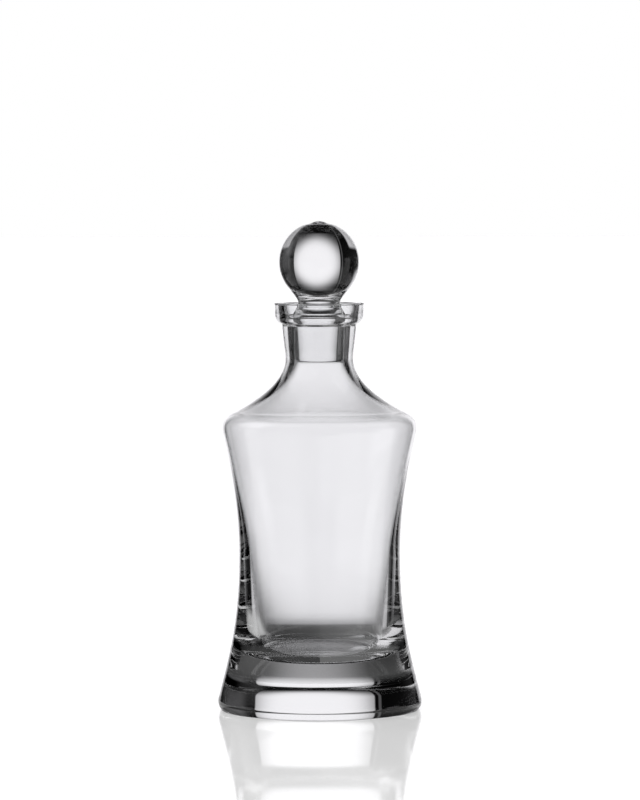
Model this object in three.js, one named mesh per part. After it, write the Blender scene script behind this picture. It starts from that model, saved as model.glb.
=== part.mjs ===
// Glass decanter with a solid ball stopper, in millimetres, +Z up.
// The origin is the centre of the flat underside. Both pieces are turned shapes
// about the Z axis, so each one is a closed outline (radius, height) revolved by a lathe.

import * as THREE from 'three';

// Facets round the axis, the same for both pieces so that plug and bore stay parallel
const SEGMENTS = 64;

// Directions in an outline, in degrees above the horizontal
const UP = 90;
const DOWN = -90;
const INWARD = 180;

// Bottle, outside: widest and narrowest places from the foot up
const FOOT_EDGE_RADIUS = 6.6;
const FOOT_RADIUS = 57.3;
const FOOT_HEIGHT = 4.6;
const FOOT_WALL_LEAN = 12.4;
const FOOT_STEPS = 5;
const WAIST_RADIUS = 45.2;
const WAIST_HEIGHT = 86.7;
const SHOULDER_RADIUS = 53.9;
const SHOULDER_HEIGHT = 155.2;
const SHOULDER_WALL_LEAN = 13.4;
const SHOULDER_BREAK_RADIUS = 46.2;
const SHOULDER_BREAK_HEIGHT = 168.0;
const SHOULDER_SLOPE = 27.2;
const NECK_RADIUS = 18.9;
const NECK_HEIGHT = 197.4;
const NECK_TOP_RADIUS = 20.7;
const NECK_TOP_HEIGHT = 215.4;
const NECK_TOP_LEAN = 5;

// Bottle, pouring lip: a thick cup-shaped collar above a small crease
const CREASE_RADIUS = 20.8;
const CREASE_HEIGHT = 216.1;
const COLLAR_TUCK_RADIUS = 21.2;
const COLLAR_TUCK_HEIGHT = 217.2;
const COLLAR_TUCK_DIRECTION = 20;
const COLLAR_RADIUS = 24.75;
const COLLAR_HEIGHT = 221.9;
const COLLAR_LEAN = 4;
const RIM_HEIGHT = 228.8;
const RIM_BEAD = 0.6;
const RIM_BEAD_CENTRE_RADIUS = 24.55;
const RIM_BEAD_START = -60;
const RIM_BEAD_STEPS = 4;
const CUP_EDGE = 1.2;
const CUP_EDGE_STEPS = 3;
const CUP_RADIUS = 19.8;
const CUP_FLOOR_HEIGHT = 216.0;
const CUP_FLOOR_DIRECTION = -150;

// Bottle, inside: the shoulder wall thickens towards the neck, the cavity tapers
// down to a bowl-shaped floor, and the foot below it is solid
const SHOULDER_WALL = 1.4;
const NECK_WALL = 5.1;
const WALL_GROWTH = 3;
const CAVITY_TOP_LEAN = 12.3;
const CAVITY_MID_RADIUS = 40.1;
const CAVITY_MID_HEIGHT = 87.0;
const CAVITY_MID_LEAN = 6.2;
const CAVITY_FOOT_RADIUS = 36.6;
const CAVITY_FOOT_HEIGHT = 45.0;
const CAVITY_FOOT_LEAN = 4.0;
const BASE_THICKNESS = 26.0;

// Stopper: solid ball with a small pip on top, waist, flare, band and tapered plug
const BALL_RADIUS = 22.45;
const BALL_CENTRE_HEIGHT = 251.8;
const BALL_STEPS = 11;
const CROWN_RADIUS = 9.4;
const CROWN_LEAN = 23.5;
const PIP_RADIUS = 5.2;
const PIP_HEIGHT = 273.3;
const PIP_LEAN = 19;
const STOPPER_TOP_HEIGHT = 274.7;
const BALL_UNDERCUT_ANGLE = 38;
const STEM_RADIUS = 11.8;
const STEM_HEIGHT = 229.4;
const STEM_FLARE = 24;
const BAND_RADIUS = 14.7;
const BAND_TOP_HEIGHT = 221.6;
const BAND_FOOT_HEIGHT = 219.5;
const PLUG_TOP_RADIUS = 14.2;
const PLUG_FOOT_RADIUS = 13.4;
const PLUG_FOOT_HEIGHT = 195.8;
const PLUG_EDGE = 0.9;
const PLUG_EDGE_STEPS = 3;

// Clearance between the tapered plug and the bore it stands in
const PLUG_CLEARANCE = 0.35;

// Smooth stretches: the curve's pull at its start and at its end, and the facets along it
const FOOT_TO_WAIST = [17.4, 42.0, 7];
const WAIST_TO_SHOULDER = [10.3, 37.0, 6];
const SHOULDER_TO_BREAK = [9.9, 2.5, 6];
const BREAK_TO_NECK = [10.1, 13.5, 8];
const NECK_TO_TOP = [5.0, 12.0, 3];
const TUCK_TO_COLLAR = [2.2, 2.5, 3];
const CUP_TO_BORE = [6.2, 4.9, 5];
const CAVITY_UPPER_WALL = [20.8, 17.1, 4];
const CAVITY_LOWER_WALL = [15.0, 14.0, 3];
const CAVITY_FLOOR = [21.3, 27.9, 7];
const BAND_TO_STEM = [2.8, 1.8, 5];
const STEM_TO_BALL = [1.3, 5.5, 5];
const CROWN_TO_PIP = [1.2, 1.2, 2];
const PIP_TO_TOP = [2.2, 1.9, 4];

const DEGREE = Math.PI / 180;

// A point of an outline: radius from the axis, height above the table
function at(radius, height) {
  return new THREE.Vector2(radius, height);
}

// A step from a point, in a direction given in degrees above the horizontal
function along(point, angle, distance) {
  return at(
    point.x + distance * Math.cos(angle * DEGREE),
    point.y + distance * Math.sin(angle * DEGREE),
  );
}

// Smooth stretch between two points, with its direction set at both ends.
// The first point is left out, because the stretch before it ends there.
function sweep(start, startAngle, end, endAngle, [startPull, endPull, steps]) {
  const curve = new THREE.CubicBezierCurve(
    start,
    along(start, startAngle, startPull),
    along(end, endAngle, -endPull),
    end,
  );
  return curve.getPoints(steps).slice(1);
}

// Round stretch about a centre, both ends included
function arc(centre, radius, fromAngle, toAngle, steps) {
  const points = [];
  for (let step = 0; step <= steps; step += 1) {
    const angle = fromAngle + ((toAngle - fromAngle) * step) / steps;
    points.push(along(centre, angle, radius));
  }
  return points;
}

// A corner rounded off by a short curve that starts and ends one ease away from it
function eased(before, corner, after, ease, steps) {
  const towards = (target) => corner.clone().lerp(target, ease / corner.distanceTo(target));
  const curve = new THREE.QuadraticBezierCurve(towards(before), corner, towards(after));
  return curve.getPoints(steps);
}

// Outline to closed solid, turned so that the lathe's own axis becomes Z
function turned(outline) {
  const geometry = new THREE.LatheGeometry(outline, SEGMENTS);
  geometry.rotateX(Math.PI / 2);
  return geometry;
}

// Radius of the tapered plug at a height, and of the bore round it
function plugRadius(height) {
  const share = (height - PLUG_FOOT_HEIGHT) / (BAND_FOOT_HEIGHT - PLUG_FOOT_HEIGHT);
  return PLUG_FOOT_RADIUS + (PLUG_TOP_RADIUS - PLUG_FOOT_RADIUS) * share;
}

function boreRadius(height) {
  return plugRadius(height) + PLUG_CLEARANCE;
}

function shoulderOutside() {
  const shoulder = at(SHOULDER_RADIUS, SHOULDER_HEIGHT);
  const shoulderBreak = at(SHOULDER_BREAK_RADIUS, SHOULDER_BREAK_HEIGHT);
  const neck = at(NECK_RADIUS, NECK_HEIGHT);
  const wallDirection = UP - SHOULDER_WALL_LEAN;
  const slopeDirection = INWARD - SHOULDER_SLOPE;
  return [
    shoulder,
    ...sweep(shoulder, wallDirection, shoulderBreak, slopeDirection, SHOULDER_TO_BREAK),
    ...sweep(shoulderBreak, slopeDirection, neck, UP, BREAK_TO_NECK),
  ];
}

// The shoulder's inner face, listed from the neck down: each point of the outer face
// moved inwards, square to it, by a wall that grows with the distance from the shoulder
function shoulderInside() {
  const outer = shoulderOutside();
  const reach = [0];
  for (let index = 1; index < outer.length; index += 1) {
    reach.push(reach[index - 1] + outer[index].distanceTo(outer[index - 1]));
  }
  const whole = reach[reach.length - 1];
  const inner = outer.map((point, index) => {
    const before = outer[Math.max(0, index - 1)];
    const after = outer[Math.min(outer.length - 1, index + 1)];
    const direction = Math.atan2(after.y - before.y, after.x - before.x) / DEGREE;
    const growth = (reach[index] / whole) ** WALL_GROWTH;
    return along(point, direction + UP, THREE.MathUtils.lerp(SHOULDER_WALL, NECK_WALL, growth));
  });
  return inner.reverse();
}

// The fire-polished bead that runs round the outer edge of the rim, up to the flat top
function rimBead() {
  const centre = at(RIM_BEAD_CENTRE_RADIUS, RIM_HEIGHT - RIM_BEAD);
  return arc(centre, RIM_BEAD, RIM_BEAD_START, UP, RIM_BEAD_STEPS);
}

function bottleOutside() {
  const footCentre = at(FOOT_RADIUS - FOOT_EDGE_RADIUS, FOOT_HEIGHT);
  const groundAngle = -Math.asin(FOOT_HEIGHT / FOOT_EDGE_RADIUS) / DEGREE;
  const foot = arc(footCentre, FOOT_EDGE_RADIUS, groundAngle, FOOT_WALL_LEAN, FOOT_STEPS);
  const footTop = foot[foot.length - 1];
  const waist = at(WAIST_RADIUS, WAIST_HEIGHT);
  const shoulder = shoulderOutside();
  const neck = at(NECK_RADIUS, NECK_HEIGHT);
  const neckTop = at(NECK_TOP_RADIUS, NECK_TOP_HEIGHT);
  const tuck = at(COLLAR_TUCK_RADIUS, COLLAR_TUCK_HEIGHT);
  const collar = at(COLLAR_RADIUS, COLLAR_HEIGHT);
  return [
    at(0, 0),
    ...foot,
    ...sweep(footTop, UP + FOOT_WALL_LEAN, waist, UP, FOOT_TO_WAIST),
    ...sweep(waist, UP, shoulder[0], UP - SHOULDER_WALL_LEAN, WAIST_TO_SHOULDER),
    ...shoulder.slice(1),
    ...sweep(neck, UP, neckTop, UP - NECK_TOP_LEAN, NECK_TO_TOP),
    at(CREASE_RADIUS, CREASE_HEIGHT),
    tuck,
    ...sweep(tuck, COLLAR_TUCK_DIRECTION, collar, UP - COLLAR_LEAN, TUCK_TO_COLLAR),
    ...rimBead(),
  ];
}

function bottleInside() {
  const rimTop = at(RIM_BEAD_CENTRE_RADIUS, RIM_HEIGHT);
  const rimInner = at(CUP_RADIUS, RIM_HEIGHT);
  const cupTop = at(CUP_RADIUS, RIM_HEIGHT - CUP_EDGE);
  const boreTop = at(boreRadius(CUP_FLOOR_HEIGHT), CUP_FLOOR_HEIGHT);
  const shoulder = shoulderInside();
  const wallTop = shoulder[shoulder.length - 1];
  const wallMid = at(CAVITY_MID_RADIUS, CAVITY_MID_HEIGHT);
  const wallFoot = at(CAVITY_FOOT_RADIUS, CAVITY_FOOT_HEIGHT);
  const floorCentre = at(0, BASE_THICKNESS);
  const midDirection = DOWN - CAVITY_MID_LEAN;
  const footDirection = DOWN - CAVITY_FOOT_LEAN;
  return [
    ...eased(rimTop, rimInner, cupTop, CUP_EDGE, CUP_EDGE_STEPS),
    ...sweep(cupTop, DOWN, boreTop, CUP_FLOOR_DIRECTION, CUP_TO_BORE),
    ...shoulder,
    ...sweep(wallTop, DOWN - CAVITY_TOP_LEAN, wallMid, midDirection, CAVITY_UPPER_WALL),
    ...sweep(wallMid, midDirection, wallFoot, footDirection, CAVITY_LOWER_WALL),
    ...sweep(wallFoot, footDirection, floorCentre, INWARD, CAVITY_FLOOR),
  ];
}

function stopperOutline() {
  const ballCentre = at(0, BALL_CENTRE_HEIGHT);
  const crownAngle = Math.acos(CROWN_RADIUS / BALL_RADIUS) / DEGREE;
  const ball = arc(ballCentre, BALL_RADIUS, -BALL_UNDERCUT_ANGLE, crownAngle, BALL_STEPS);
  const crown = ball[ball.length - 1];
  const pip = at(PIP_RADIUS, PIP_HEIGHT);
  const top = at(0, STOPPER_TOP_HEIGHT);
  const stem = at(STEM_RADIUS, STEM_HEIGHT);
  const bandTop = at(BAND_RADIUS, BAND_TOP_HEIGHT);
  const plugTop = at(PLUG_TOP_RADIUS, BAND_FOOT_HEIGHT);
  const plugFoot = at(PLUG_FOOT_RADIUS, PLUG_FOOT_HEIGHT);
  const plugCentre = at(0, PLUG_FOOT_HEIGHT);
  return [
    plugCentre,
    ...eased(plugCentre, plugFoot, plugTop, PLUG_EDGE, PLUG_EDGE_STEPS),
    plugTop,
    at(BAND_RADIUS, BAND_FOOT_HEIGHT),
    bandTop,
    ...sweep(bandTop, UP + STEM_FLARE, stem, UP, BAND_TO_STEM),
    ...sweep(stem, UP, ball[0], UP - BALL_UNDERCUT_ANGLE, STEM_TO_BALL),
    ...ball.slice(1),
    ...sweep(crown, INWARD - CROWN_LEAN, pip, INWARD - PIP_LEAN, CROWN_TO_PIP),
    ...sweep(pip, INWARD - PIP_LEAN, top, INWARD, PIP_TO_TOP),
  ];
}

function glass(name, outline, colour) {
  const material = new THREE.MeshStandardMaterial({
    color: colour,
    roughness: 0.04,
    metalness: 0,
    transparent: true,
    opacity: 0.35,
  });
  const mesh = new THREE.Mesh(turned(outline), material);
  mesh.name = name;
  return mesh;
}

const decanter = new THREE.Group();
decanter.add(glass('bottle', [...bottleOutside(), ...bottleInside()], 0xeef2f4));
decanter.add(glass('stopper', stopperOutline(), 0xf2f5f7));

export default decanter;
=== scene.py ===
import math

import bpy
import numpy as np
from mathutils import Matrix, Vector


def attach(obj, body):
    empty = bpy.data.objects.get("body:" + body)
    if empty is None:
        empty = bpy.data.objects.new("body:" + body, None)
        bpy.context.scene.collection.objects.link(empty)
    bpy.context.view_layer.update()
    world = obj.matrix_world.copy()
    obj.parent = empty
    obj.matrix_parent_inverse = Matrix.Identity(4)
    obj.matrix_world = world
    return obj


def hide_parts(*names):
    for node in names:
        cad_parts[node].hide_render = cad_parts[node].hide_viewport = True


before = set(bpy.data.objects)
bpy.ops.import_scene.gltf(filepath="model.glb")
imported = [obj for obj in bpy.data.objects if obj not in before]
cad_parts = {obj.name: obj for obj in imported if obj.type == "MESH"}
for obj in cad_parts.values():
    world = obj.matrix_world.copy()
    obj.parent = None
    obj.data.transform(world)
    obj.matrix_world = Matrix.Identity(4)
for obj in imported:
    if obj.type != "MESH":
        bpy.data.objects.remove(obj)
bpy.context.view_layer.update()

# Driving sizes in millimetres, the same as the solids have
MM = 0.001
LATHE_SEGMENTS = 256
LONGEST_STRETCH = 1.6
CURVE_STEPS = 28
LONG_CURVE_STEPS = 40
SHORT_CURVE_STEPS = 8
TOP_CURVE_STEPS = 16
CORNER_STEPS = 5
FOOT_ARC_STEPS = 16
RIM_ARC_STEPS = 12
BALL_ARC_STEPS = 60
SHARP_ANGLE = 25
UP = 90
DOWN = -90
INWARD = 180
DEGREES = 180 / math.pi

FOOT_EDGE_RADIUS = 6.6
FOOT_RADIUS = 57.3
FOOT_HEIGHT = 4.6
FOOT_WALL_LEAN = 12.4
GROUND_EDGE = 0.4
WAIST = (45.2, 86.7)
SHOULDER = (53.9, 155.2)
SHOULDER_WALL_LEAN = 13.4
SHOULDER_BREAK = (46.2, 168.0)
SHOULDER_SLOPE = 27.2
NECK = (18.9, 197.4)
NECK_TOP = (20.7, 215.4)
NECK_TOP_LEAN = 5
COLLAR_TUCK = (21.2, 217.2)
COLLAR_TUCK_DIRECTION = 20
COLLAR = (24.75, 221.9)
COLLAR_LEAN = 4
RIM_HEIGHT = 228.8
RIM_BEAD = 0.6
RIM_BEAD_CENTRE = (24.55, 228.2)
RIM_BEAD_START = -60
CUP_EDGE = 1.2
CUP_RADIUS = 19.8
CUP_FLOOR_HEIGHT = 216.0
CUP_FLOOR_DIRECTION = -150

SHOULDER_WALL = 1.4
NECK_WALL = 5.1
WALL_GROWTH = 3
CAVITY_TOP_LEAN = 12.3
CAVITY_MID = (40.1, 87.0)
CAVITY_MID_LEAN = 6.2
CAVITY_FOOT = (36.6, 45.0)
CAVITY_FOOT_LEAN = 4.0
BASE_THICKNESS = 26.0

BALL_RADIUS = 22.45
BALL_CENTRE_HEIGHT = 251.8
CROWN_RADIUS = 9.4
CROWN_LEAN = 23.5
PIP = (5.2, 273.3)
PIP_LEAN = 19
STOPPER_TOP = (0, 274.7)
BALL_UNDERCUT_ANGLE = 38
STEM = (11.8, 229.4)
STEM_FLARE = 24
BAND_TOP = (14.7, 221.6)
BAND_FOOT = (14.7, 219.5)
BAND_EDGE = 0.25
PLUG_TOP_RADIUS = 14.2
PLUG_FOOT_RADIUS = 13.4
PLUG_FOOT_HEIGHT = 195.8
PLUG_EDGE = 0.9
PLUG_CLEARANCE = 0.35

# Smooth stretches: the curve's pull at its start and at its end
FOOT_TO_WAIST = (17.4, 42.0)
WAIST_TO_SHOULDER = (10.3, 37.0)
SHOULDER_TO_BREAK = (9.9, 2.5)
BREAK_TO_NECK = (10.1, 13.5)
NECK_TO_TOP = (5.0, 12.0)
CREASE = (0.5, 0.5)
TUCK_TO_COLLAR = (2.2, 2.5)
CUP_TO_BORE = (6.2, 4.9)
CAVITY_UPPER_WALL = (20.8, 17.1)
CAVITY_LOWER_WALL = (15.0, 14.0)
CAVITY_FLOOR = (21.3, 27.9)
BAND_TO_STEM = (2.8, 1.8)
STEM_TO_BALL = (1.3, 5.5)
CROWN_TO_PIP = (1.2, 1.2)
PIP_TO_TOP = (2.2, 1.9)

# Camera: a long lens about 2.3 m away, level with the top of the ball, as in the photograph
CAMERA_LENS = 182.0
CAMERA_CLIP = 50
CAMERA_DISTANCE = 2.271
CAMERA_HEIGHT = 0.279
PHOTO_PIXEL = 0.00056
PHOTO_CENTRE_X = 320.0
PHOTO_AXIS_X = 319.35
PHOTO_TILT = -0.12
PHOTO_BASE_Y = 711.0
PHOTO_CENTRE_Y = 400.0


def along(point, angle, distance):
    """A step from a point, in a direction in degrees above the horizontal."""
    turn = math.radians(angle)
    return (point[0] + distance * math.cos(turn), point[1] + distance * math.sin(turn))


def sweep(start, start_angle, end, end_angle, pulls, steps=CURVE_STEPS):
    """Smooth stretch between two points, without its first point."""
    near = along(start, start_angle, pulls[0])
    far = along(end, end_angle, -pulls[1])
    points = []
    for step in range(1, steps + 1):
        t = step / steps
        s = 1 - t
        weights = (s ** 3, 3 * s * s * t, 3 * s * t * t, t ** 3)
        points.append(tuple(
            sum(w * p[axis] for w, p in zip(weights, (start, near, far, end)))
            for axis in (0, 1)
        ))
    return points


def arc(centre, radius, from_angle, to_angle, steps):
    """Round stretch about a centre, both ends included."""
    span = to_angle - from_angle
    return [
        along(centre, from_angle + span * step / steps, radius)
        for step in range(steps + 1)
    ]


def eased(before, corner, after, ease):
    """A corner rounded off from one ease before it, or half the side, to one ease after it."""
    def towards(target):
        reach = math.dist(corner, target)
        share = min(0.5, ease / reach)
        return tuple(c + (t - c) * share for c, t in zip(corner, target))

    start = towards(before)
    end = towards(after)
    points = []
    for step in range(CORNER_STEPS + 1):
        t = step / CORNER_STEPS
        points.append(tuple(
            (1 - t) ** 2 * a + 2 * t * (1 - t) * b + t * t * c
            for a, b, c in zip(start, corner, end)
        ))
    return points


def plug_radius(height):
    """The plug's taper, straight from its foot to the band."""
    share = (height - PLUG_FOOT_HEIGHT) / (BAND_FOOT[1] - PLUG_FOOT_HEIGHT)
    return PLUG_FOOT_RADIUS + (PLUG_TOP_RADIUS - PLUG_FOOT_RADIUS) * share


def bore_radius(height):
    return plug_radius(height) + PLUG_CLEARANCE


def shoulder_outside():
    """The outer face from the shoulder corner up to the neck."""
    wall = UP - SHOULDER_WALL_LEAN
    slope = INWARD - SHOULDER_SLOPE
    return [
        SHOULDER,
        *sweep(SHOULDER, wall, SHOULDER_BREAK, slope, SHOULDER_TO_BREAK),
        *sweep(SHOULDER_BREAK, slope, NECK, UP, BREAK_TO_NECK),
    ]


def shoulder_inside():
    """The shoulder's inner face from the neck down, under a wall that grows towards the neck."""
    outer = shoulder_outside()
    reach = [0.0]
    for start, end in zip(outer, outer[1:]):
        reach.append(reach[-1] + math.dist(start, end))
    inner = []
    for index, point in enumerate(outer):
        before = outer[max(0, index - 1)]
        after = outer[min(len(outer) - 1, index + 1)]
        direction = math.degrees(math.atan2(after[1] - before[1], after[0] - before[0]))
        growth = (reach[index] / reach[-1]) ** WALL_GROWTH
        wall = SHOULDER_WALL + (NECK_WALL - SHOULDER_WALL) * growth
        inner.append(along(point, direction + UP, wall))
    return inner[::-1]


def bottle_outline():
    """Up the outside from the middle of the underside, and down the inside to the axis."""
    foot_centre = (FOOT_RADIUS - FOOT_EDGE_RADIUS, FOOT_HEIGHT)
    ground_angle = -math.degrees(math.asin(FOOT_HEIGHT / FOOT_EDGE_RADIUS))
    foot = arc(foot_centre, FOOT_EDGE_RADIUS, ground_angle, FOOT_WALL_LEAN, FOOT_ARC_STEPS)
    bead = arc(RIM_BEAD_CENTRE, RIM_BEAD, RIM_BEAD_START, UP, RIM_ARC_STEPS)
    rim_inner = (CUP_RADIUS, RIM_HEIGHT)
    cup_top = (CUP_RADIUS, RIM_HEIGHT - CUP_EDGE)
    bore_top = (bore_radius(CUP_FLOOR_HEIGHT), CUP_FLOOR_HEIGHT)
    inner_shoulder = shoulder_inside()
    top_lean = DOWN - CAVITY_TOP_LEAN
    mid_lean = DOWN - CAVITY_MID_LEAN
    foot_lean = DOWN - CAVITY_FOOT_LEAN
    outside = [
        (0, 0),
        *eased((0, 0), foot[0], foot[1], GROUND_EDGE),
        *foot[1:],
        *sweep(foot[-1], UP + FOOT_WALL_LEAN, WAIST, UP, FOOT_TO_WAIST),
        *sweep(WAIST, UP, SHOULDER, UP - SHOULDER_WALL_LEAN, WAIST_TO_SHOULDER),
        *shoulder_outside()[1:],
        *sweep(NECK, UP, NECK_TOP, UP - NECK_TOP_LEAN, NECK_TO_TOP),
        *sweep(
            NECK_TOP, UP - NECK_TOP_LEAN, COLLAR_TUCK, COLLAR_TUCK_DIRECTION,
            CREASE, SHORT_CURVE_STEPS,
        ),
        *sweep(COLLAR_TUCK, COLLAR_TUCK_DIRECTION, COLLAR, UP - COLLAR_LEAN, TUCK_TO_COLLAR),
        *bead,
    ]
    inside = [
        *eased(bead[-1], rim_inner, cup_top, CUP_EDGE),
        *sweep(cup_top, DOWN, bore_top, CUP_FLOOR_DIRECTION, CUP_TO_BORE),
        *inner_shoulder,
        *sweep(
            inner_shoulder[-1], top_lean, CAVITY_MID, mid_lean,
            CAVITY_UPPER_WALL, LONG_CURVE_STEPS,
        ),
        *sweep(CAVITY_MID, mid_lean, CAVITY_FOOT, foot_lean, CAVITY_LOWER_WALL),
        *sweep(
            CAVITY_FOOT, foot_lean, (0, BASE_THICKNESS), INWARD,
            CAVITY_FLOOR, LONG_CURVE_STEPS,
        ),
    ]
    return outside + inside


def stopper_outline():
    """Up the outside from the middle of the plug's foot to the pip on the ball."""
    ball_centre = (0, BALL_CENTRE_HEIGHT)
    crown_angle = math.degrees(math.acos(CROWN_RADIUS / BALL_RADIUS))
    ball = arc(ball_centre, BALL_RADIUS, -BALL_UNDERCUT_ANGLE, crown_angle, BALL_ARC_STEPS)
    plug_foot = (PLUG_FOOT_RADIUS, PLUG_FOOT_HEIGHT)
    plug_top = (PLUG_TOP_RADIUS, BAND_FOOT[1])
    plug_centre = (0, PLUG_FOOT_HEIGHT)
    return [
        plug_centre,
        *eased(plug_centre, plug_foot, plug_top, PLUG_EDGE),
        plug_top,
        *eased(plug_top, BAND_FOOT, BAND_TOP, BAND_EDGE),
        BAND_TOP,
        *sweep(BAND_TOP, UP + STEM_FLARE, STEM, UP, BAND_TO_STEM),
        *sweep(STEM, UP, ball[0], UP - BALL_UNDERCUT_ANGLE, STEM_TO_BALL),
        *ball[1:],
        *sweep(
            ball[-1], INWARD - CROWN_LEAN, PIP, INWARD - PIP_LEAN,
            CROWN_TO_PIP, SHORT_CURVE_STEPS,
        ),
        *sweep(PIP, INWARD - PIP_LEAN, STOPPER_TOP, INWARD, PIP_TO_TOP, TOP_CURVE_STEPS),
    ]


def finely_spaced(outline):
    """The same outline with points added on its long straight stretches."""
    points = [outline[0]]
    for start, end in zip(outline, outline[1:]):
        pieces = math.ceil(math.dist(start, end) / LONGEST_STRETCH)
        for piece in range(1, pieces + 1):
            share = piece / pieces
            points.append(tuple(a + (b - a) * share for a, b in zip(start, end)))
    return points


def turned(name, outline):
    """A closed glass body: the outline, which starts and ends on the axis, turned about Z."""
    outline = finely_spaced(outline)
    rings = [(radius * MM, height * MM) for radius, height in outline[1:-1]]
    turn = np.linspace(0, 2 * math.pi, LATHE_SEGMENTS, endpoint=False)
    circle = np.column_stack([np.cos(turn), np.sin(turn)])
    vertices = [(0, 0, outline[0][1] * MM)]
    for radius, height in rings:
        vertices.extend((radius * x, radius * y, height) for x, y in circle)
    vertices.append((0, 0, outline[-1][1] * MM))
    last = len(vertices) - 1

    def ring_vertex(ring, segment):
        return 1 + ring * LATHE_SEGMENTS + segment % LATHE_SEGMENTS

    faces = []
    for segment in range(LATHE_SEGMENTS):
        faces.append((0, ring_vertex(0, segment + 1), ring_vertex(0, segment)))
        for ring in range(len(rings) - 1):
            faces.append((
                ring_vertex(ring, segment),
                ring_vertex(ring, segment + 1),
                ring_vertex(ring + 1, segment + 1),
                ring_vertex(ring + 1, segment),
            ))
        faces.append((
            ring_vertex(len(rings) - 1, segment),
            ring_vertex(len(rings) - 1, segment + 1),
            last,
        ))
    mesh = bpy.data.meshes.new(name)
    mesh.from_pydata(vertices, [], faces)
    mesh.shade_smooth()
    mesh.set_sharp_from_angle(angle=math.radians(SHARP_ANGLE))
    mesh.update()
    piece = bpy.data.objects.new(name, mesh)
    bpy.context.scene.collection.objects.link(piece)
    return piece


# Small helpers for shader nodes
class Nodes:
    def __init__(self, tree):
        self.tree = tree
        tree.nodes.clear()

    def add(self, kind, **values):
        node = self.tree.nodes.new(kind)
        for key, value in values.items():
            setattr(node, key, value)
        return node

    def join(self, source, target):
        self.tree.links.new(source, target)

    def math(self, operation, first, second=None):
        node = self.add("ShaderNodeMath", operation=operation)
        for socket, value in zip(node.inputs, (first, second)):
            if value is None:
                continue
            if isinstance(value, (int, float)):
                socket.default_value = value
            else:
                self.join(value, socket)
        return node.outputs[0]

    def product(self, first, *others):
        for other in others:
            first = self.math("MULTIPLY", first, other)
        return first

    def largest(self, first, *others):
        for other in others:
            first = self.math("MAXIMUM", first, other)
        return first

    def ramp(self, value, low, high, at_low=0.0, at_high=1.0):
        """Goes smoothly from one level to another between two values."""
        node = self.add("ShaderNodeMapRange", interpolation_type="SMOOTHSTEP")
        self.join(value, node.inputs["Value"])
        node.inputs["From Min"].default_value = low
        node.inputs["From Max"].default_value = high
        node.inputs["To Min"].default_value = at_low
        node.inputs["To Max"].default_value = at_high
        return node.outputs["Result"]

    def axes(self, vector):
        split = self.add("ShaderNodeSeparateXYZ")
        self.join(vector, split.inputs["Vector"])
        return split.outputs

    def azimuth(self, x, y):
        """Degrees from +Y, more towards +X."""
        return self.product(self.math("ARCTAN2", x, y), DEGREES)


# Glass
GLASS_IOR = 1.52
BOTTLE_TINT = (0.985, 0.988, 0.992)
STOPPER_TINT = (0.99, 0.992, 0.995)
TINT_DEPTH = 0.985
WAVE_STRETCH = (1.0, 1.0, 0.35)
WAVE_DETAIL = 2.0
WAVE_DEPTH = 0.0002
BOTTLE_WAVES = (35, 0.15)
STOPPER_WAVES = (30, 0.1)


def clear_glass(name, tint, wave_scale, wave_strength):
    """Clear glass with the faint long waves that blowing and fire polishing leave."""
    material = bpy.data.materials.new(name)
    material.use_nodes = True
    nodes = Nodes(material.node_tree)
    place = nodes.add("ShaderNodeTexCoord")
    stretch = nodes.add("ShaderNodeMapping")
    stretch.inputs["Scale"].default_value = WAVE_STRETCH
    nodes.join(place.outputs["Object"], stretch.inputs["Vector"])
    wave = nodes.add("ShaderNodeTexNoise")
    wave.inputs["Scale"].default_value = wave_scale
    wave.inputs["Detail"].default_value = WAVE_DETAIL
    nodes.join(stretch.outputs["Vector"], wave.inputs["Vector"])
    bump = nodes.add("ShaderNodeBump")
    bump.inputs["Strength"].default_value = wave_strength
    bump.inputs["Distance"].default_value = WAVE_DEPTH
    nodes.join(wave.outputs["Fac"], bump.inputs["Height"])
    colour = nodes.add("ShaderNodeMix", data_type="RGBA")
    colour.inputs[6].default_value = (*tint, 1)
    colour.inputs[7].default_value = (*[c * TINT_DEPTH for c in tint], 1)
    nodes.join(wave.outputs["Fac"], colour.inputs[0])
    glass = nodes.add("ShaderNodeBsdfPrincipled")
    nodes.join(colour.outputs[2], glass.inputs["Base Color"])
    glass.inputs["Roughness"].default_value = 0.0
    glass.inputs["IOR"].default_value = GLASS_IOR
    glass.inputs["Transmission Weight"].default_value = 1.0
    nodes.join(bump.outputs["Normal"], glass.inputs["Normal"])
    output = nodes.add("ShaderNodeOutputMaterial")
    nodes.join(glass.outputs["BSDF"], output.inputs["Surface"])
    return material


bottle = turned("bottle_glass_body", bottle_outline())
bottle.data.materials.append(clear_glass("bottle_clear_glass", BOTTLE_TINT, *BOTTLE_WAVES))
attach(bottle, "bottle")
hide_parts("bottle")

stopper = turned("stopper_glass_ball", stopper_outline())
stopper.data.materials.append(clear_glass("stopper_clear_glass", STOPPER_TINT, *STOPPER_WAVES))
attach(stopper, "stopper")
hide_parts("stopper")


# Studio by direction: azimuth from +Y towards +X and height above level, both in degrees
SCREEN_SIDES = (-23.1, 28.8)
SCREEN_EDGE = 0.5
SCREEN_REACH = (34, 37)
SPOT_AZIMUTH = 3.5
SPOT_WIDTH = 11.5
SPOT_STRENGTH = 8.6
SPOT_LEVEL = 1.0
GAP_STRIP = (-26.8, -25.2)
GAP_EDGE = 0.4
GAP_LEVEL = 0.08
RIGHT_STARTS = (32, 42)
RIGHT_ENDS = (50, 75)
RIGHT_END_SHARE = 0.3
RIGHT_TOP = (2, 20)
RIGHT_TOP_SHARE = 0.1
RIGHT_LEVEL = 0.08
SIDE_STARTS = (-70, -52)
SIDE_ENDS = (-116, -98)
SIDE_LEVEL = 0.8
SIDE_BOTTOM = (6, 20)
SIDE_TOP = (45, 60)
WINDOW_STARTS = (76, 84)
WINDOW_ENDS = (96, 104)
WINDOW_TOP = (6, 10)
WINDOW_LEVEL = 0.7
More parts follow.
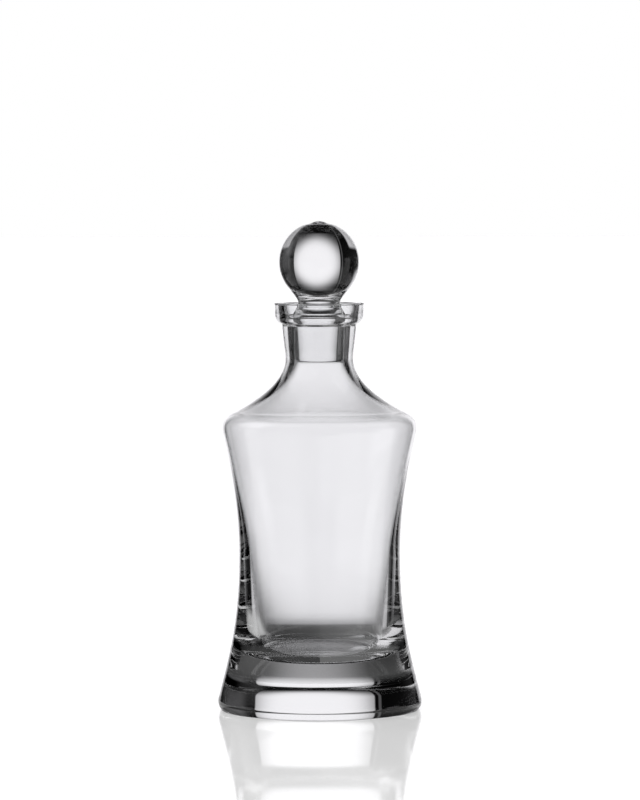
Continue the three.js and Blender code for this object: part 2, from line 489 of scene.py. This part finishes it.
LOW_TOP = (-22, -16)
LOW_LEFT_STARTS = (-46, -41)
LOW_LEFT_LEVEL = 0.6
LEFT_ENDS = (-95, -75)
LEFT_FRONT = 0.35
LOW_RIGHT_STARTS = (41, 46)
LOW_RIGHT_LEVEL = 0.5
ROOM_STARTS = (112, 132)
ROOM_LEVEL = 0.02
DARK_LEVEL = 0.001
DIFFUSE_LEVEL = 0.38
STUDIO_TINT = (0.985, 0.975, 1.0)


def studio_world():
    """White for the camera, and a studio with a lit screen and dark flags for the glass.

    The glass sees a white screen behind the object, a thin strip beside it, a faint grey on
    the right, a side panel high on the left, windows at both sides, pale areas low on the
    left and right, and little else. Matt surfaces get one plain level from all round.
    """
    world = bpy.data.worlds.new("studio")
    world.use_nodes = True
    world.cycles.sampling_method = "NONE"
    nodes = Nodes(world.node_tree)
    place = nodes.add("ShaderNodeTexCoord")
    x, y, z = nodes.axes(place.outputs["Generated"])
    azimuth = nodes.azimuth(x, y)
    turned_away = nodes.math("ABSOLUTE", azimuth)
    height = nodes.product(nodes.math("ARCSINE", z), DEGREES)

    def sector(low, high, edge):
        start = nodes.ramp(azimuth, low - edge, low + edge)
        end = nodes.ramp(azimuth, high - edge, high + edge, 1.0, 0.0)
        return nodes.product(start, end)

    across = nodes.math("SUBTRACT", azimuth, SPOT_AZIMUTH)
    away = nodes.math("ADD", nodes.product(across, across), nodes.product(height, height))
    falloff = nodes.math("EXPONENT", nodes.product(away, -0.5 / SPOT_WIDTH ** 2))
    missing = nodes.math("EXPONENT", nodes.product(falloff, -SPOT_STRENGTH / SPOT_LEVEL))
    spot = nodes.product(nodes.math("SUBTRACT", 1.0, missing), SPOT_LEVEL)
    tall = nodes.ramp(nodes.math("ABSOLUTE", height), *SCREEN_REACH, 1.0, 0.0)
    screen = nodes.product(spot, tall, sector(*SCREEN_SIDES, SCREEN_EDGE))
    gap = nodes.product(sector(*GAP_STRIP, GAP_EDGE), GAP_LEVEL)
    right = nodes.product(
        nodes.ramp(azimuth, *RIGHT_STARTS, 0.0, RIGHT_LEVEL),
        nodes.ramp(azimuth, *RIGHT_ENDS, 1.0, RIGHT_END_SHARE),
        nodes.ramp(height, *RIGHT_TOP, 1.0, RIGHT_TOP_SHARE),
    )
    side = nodes.product(
        nodes.ramp(azimuth, *SIDE_STARTS, SIDE_LEVEL, 0.0),
        nodes.ramp(azimuth, *SIDE_ENDS),
        nodes.ramp(height, *SIDE_TOP, 1.0, 0.0),
        nodes.ramp(height, *SIDE_BOTTOM),
    )
    window = nodes.product(
        nodes.ramp(turned_away, *WINDOW_STARTS, 0.0, WINDOW_LEVEL),
        nodes.ramp(turned_away, *WINDOW_ENDS, 1.0, 0.0),
        nodes.ramp(height, *WINDOW_TOP, 1.0, 0.0),
    )
    low = nodes.ramp(height, *LOW_TOP, 1.0, 0.0)
    low_left = nodes.product(
        nodes.ramp(azimuth, *LOW_LEFT_STARTS, LOW_LEFT_LEVEL, 0.0),
        nodes.ramp(azimuth, *LEFT_ENDS, LEFT_FRONT, 1.0),
        low,
    )
    low_right = nodes.product(nodes.ramp(azimuth, *LOW_RIGHT_STARTS, 0.0, LOW_RIGHT_LEVEL), low)
    room = nodes.product(nodes.ramp(turned_away, *ROOM_STARTS), ROOM_LEVEL)
    lit = nodes.largest(
        screen, DARK_LEVEL, gap, right, side, room, window, low_left, low_right,
    )

    path = nodes.add("ShaderNodeLightPath")
    through = nodes.largest(path.outputs["Is Glossy Ray"], path.outputs["Is Transmission Ray"])
    seen = nodes.add("ShaderNodeMix", data_type="FLOAT")
    nodes.join(through, seen.inputs[0])
    seen.inputs[2].default_value = DIFFUSE_LEVEL
    nodes.join(lit, seen.inputs[3])
    shown = nodes.add("ShaderNodeMix", data_type="FLOAT")
    nodes.join(path.outputs["Is Camera Ray"], shown.inputs[0])
    nodes.join(seen.outputs[0], shown.inputs[2])
    shown.inputs[3].default_value = 1.0
    colour = nodes.add("ShaderNodeMix", data_type="RGBA")
    nodes.join(through, colour.inputs[0])
    colour.inputs[6].default_value = (1, 1, 1, 1)
    colour.inputs[7].default_value = (*STUDIO_TINT, 1)
    background = nodes.add("ShaderNodeBackground")
    nodes.join(colour.outputs[2], background.inputs["Color"])
    nodes.join(shown.outputs[0], background.inputs["Strength"])
    output = nodes.add("ShaderNodeOutputWorld")
    nodes.join(background.outputs["Background"], output.inputs["Surface"])
    bpy.context.scene.world = world


# Floor: distances from the object's axis in metres, azimuths in degrees
FLOOR_SIZE = 400.0
FLOOR_DROP = 0.0001
FLOOR_IOR = 1.5
FLOOR_MIRROR = 0.5
FLOOR_ROUGHNESS = 0.05
FLOOR_GLOW = 0.75
FLOOR_PAINT = 0.9
# Painted shade seen only by the glass: a dim glowing patch under the foot, with its reach, edge,
# turn, glow levels and gloss
PAINTED_SHADE_REACH = 0.11
PAINTED_SHADE_EDGE = 0.005
PAINTED_SHADE_TURN = (-20, 20)
PAINTED_SHADE_LEVELS = (0.05, 0.15)
PAINTED_SHADE_ROUGHNESS = 0.2
PAINTED_SHADE_FACING_BLEND = 0.5
PAINTED_SHADE_GRAZING_POWER = 1.8
# Painted light seen only by the glass: pale glowing patches, kept off the floor under the foot
# and straight in front
FOOT_SHADE = (0.056, 0.062)
CAMERA_GAP = (150, 165)
PAINTED_LIGHT_LEFT = (-50, -34)
PAINTED_LIGHT_REACH = (0.12, 0.15)
PAINTED_LIGHT_FRONT = (75, 95)
PAINTED_LIGHT_FADE = (0.8, 1.6)
PAINTED_LIGHT_FAR_SHARE = 0.3
PAINTED_LIGHT_LEVEL = 0.6


def studio_floor():
    """Plain, pale and glossy for the camera, with painted shade and painted light for the glass.

    Painted shade, a dim glow brighter towards +X with a gloss over it, lies under the foot and a
    little round it, and past its edge the studio goes on downwards. Painted light, pale glowing
    patches at the left, the right front and both sides, lies over both, all but under the foot
    and straight in front.
    """
    half = FLOOR_SIZE / 2
    mesh = bpy.data.meshes.new("floor")
    corners = [(-half, -half), (half, -half), (half, half), (-half, half)]
    mesh.from_pydata([(x, y, -FLOOR_DROP) for x, y in corners], [], [(0, 1, 2, 3)])
    floor = bpy.data.objects.new("floor", mesh)
    bpy.context.scene.collection.objects.link(floor)
    material = bpy.data.materials.new("pale_table_with_painted_shade_and_light")
    material.use_nodes = True
    nodes = Nodes(material.node_tree)

    def gloss(roughness):
        coat = nodes.add("ShaderNodeBsdfAnisotropic")
        coat.inputs["Color"].default_value = (1, 1, 1, 1)
        coat.inputs["Roughness"].default_value = roughness
        return coat

    def layered(amount, below, above):
        layer = nodes.add("ShaderNodeMixShader")
        nodes.join(amount, layer.inputs[0])
        nodes.join(below.outputs[0], layer.inputs[1])
        nodes.join(above.outputs[0], layer.inputs[2])
        return layer

    paint = nodes.add("ShaderNodeBsdfDiffuse")
    paint.inputs["Color"].default_value = (FLOOR_PAINT, FLOOR_PAINT, FLOOR_PAINT, 1)
    glow = nodes.add("ShaderNodeEmission")
    glow.inputs["Strength"].default_value = FLOOR_GLOW
    white = nodes.add("ShaderNodeAddShader")
    nodes.join(paint.outputs[0], white.inputs[0])
    nodes.join(glow.outputs[0], white.inputs[1])
    fresnel = nodes.add("ShaderNodeFresnel")
    fresnel.inputs["IOR"].default_value = FLOOR_IOR
    mirror = nodes.math("MINIMUM", fresnel.outputs[0], FLOOR_MIRROR)
    seen = layered(mirror, white, gloss(FLOOR_ROUGHNESS))

    place = nodes.add("ShaderNodeNewGeometry")
    x, y, z = nodes.axes(place.outputs["Position"])
    reach = nodes.math("SQRT", nodes.math("ADD", nodes.product(x, x), nodes.product(y, y)))
    azimuth = nodes.azimuth(x, y)
    turned_away = nodes.math("ABSOLUTE", azimuth)

    # Painted shade: a dim glow under the foot for the glass, brighter towards +X, with a gloss
    # over it at grazing angles
    dark = nodes.add("ShaderNodeEmission")
    nodes.join(nodes.ramp(azimuth, *PAINTED_SHADE_TURN, *PAINTED_SHADE_LEVELS), dark.inputs["Strength"])
    facing = nodes.add("ShaderNodeLayerWeight")
    facing.inputs["Blend"].default_value = PAINTED_SHADE_FACING_BLEND
    grazing = nodes.math("POWER", facing.outputs["Facing"], PAINTED_SHADE_GRAZING_POWER)
    painted_shade_patch = layered(grazing, dark, gloss(PAINTED_SHADE_ROUGHNESS))
    past = nodes.ramp(reach, PAINTED_SHADE_REACH - PAINTED_SHADE_EDGE, PAINTED_SHADE_REACH + PAINTED_SHADE_EDGE)
    behind = layered(past, painted_shade_patch, nodes.add("ShaderNodeBsdfTransparent"))

    # Painted light for the glass: where the pale glowing patches lie
    clear = nodes.product(
        nodes.ramp(reach, *FOOT_SHADE),
        nodes.ramp(turned_away, *CAMERA_GAP, 1.0, 0.0),
    )
    left = nodes.product(
        nodes.ramp(azimuth, *PAINTED_LIGHT_LEFT, 1.0, 0.0),
        nodes.ramp(reach, *PAINTED_LIGHT_REACH, 1.0, 0.0),
        nodes.ramp(azimuth, *LEFT_ENDS, LEFT_FRONT, 1.0),
    )
    front = nodes.product(
        nodes.ramp(azimuth, *PAINTED_LIGHT_FRONT),
        nodes.ramp(reach, *PAINTED_LIGHT_FADE, 1.0, PAINTED_LIGHT_FAR_SHARE),
    )
    far_left = nodes.ramp(azimuth, *LEFT_ENDS, LEFT_FRONT, 0.0)
    window = nodes.product(
        nodes.ramp(turned_away, *WINDOW_STARTS),
        nodes.ramp(turned_away, *WINDOW_ENDS, 1.0, 0.0),
    )
    painted_light_share = nodes.product(clear, nodes.largest(left, front, far_left, window))
    # Painted light: the glow of the pale patches
    pale = nodes.add("ShaderNodeEmission")
    pale.inputs["Strength"].default_value = PAINTED_LIGHT_LEVEL
    refracted = layered(painted_light_share, behind, pale)

    path = nodes.add("ShaderNodeLightPath")
    mix = layered(path.outputs["Is Camera Ray"], refracted, seen)
    output = nodes.add("ShaderNodeOutputMaterial")
    nodes.join(mix.outputs[0], output.inputs["Surface"])
    floor.data.materials.append(material)


# Lamp in metres and watts, and how often a ray may bounce
LAMP_SIZE = 0.9
LAMP_ENERGY = 4.0
LAMP_PLACE = (-0.3, -0.2, 1.3)
LAMP_AIM = (0, 0, 0.1)
MOST_BOUNCES = 24
MOST_GLOSSY_BOUNCES = 12


def soft_lamp():
    """A soft box above the object, which gives the floor its soft shadow."""
    data = bpy.data.lights.new("soft_box", "AREA")
    data.shape = "RECTANGLE"
    data.size = LAMP_SIZE
    data.size_y = LAMP_SIZE
    data.energy = LAMP_ENERGY
    lamp = bpy.data.objects.new("soft_box", data)
    lamp.location = LAMP_PLACE
    aim = Vector(LAMP_AIM) - lamp.location
    lamp.rotation_euler = aim.to_track_quat("-Z", "Y").to_euler()
    lamp.visible_glossy = False
    lamp.visible_transmission = False
    bpy.context.scene.collection.objects.link(lamp)


def photograph_camera():
    """Looks at the point of the axis that the photograph's middle row shows."""
    data = bpy.data.cameras.new("camera")
    data.lens = CAMERA_LENS
    data.clip_end = CAMERA_CLIP
    camera = bpy.data.objects.new("camera", data)
    aim_height = (PHOTO_BASE_Y - PHOTO_CENTRE_Y) * PHOTO_PIXEL
    aim_x = (PHOTO_CENTRE_X - PHOTO_AXIS_X) * PHOTO_PIXEL
    camera.location = (aim_x, -CAMERA_DISTANCE, CAMERA_HEIGHT)
    sight = Vector((aim_x, 0, aim_height)) - camera.location
    camera.rotation_euler = sight.to_track_quat("-Z", "Y").to_euler()
    camera.rotation_euler.rotate_axis("Z", math.radians(PHOTO_TILT))
    bpy.context.scene.collection.objects.link(camera)
    bpy.context.scene.camera = camera


studio_world()
studio_floor()
soft_lamp()
photograph_camera()

scene = bpy.context.scene
scene.view_settings.view_transform = "Standard"
scene.cycles.max_bounces = MOST_BOUNCES
scene.cycles.transmission_bounces = MOST_BOUNCES
scene.cycles.glossy_bounces = MOST_GLOSSY_BOUNCES
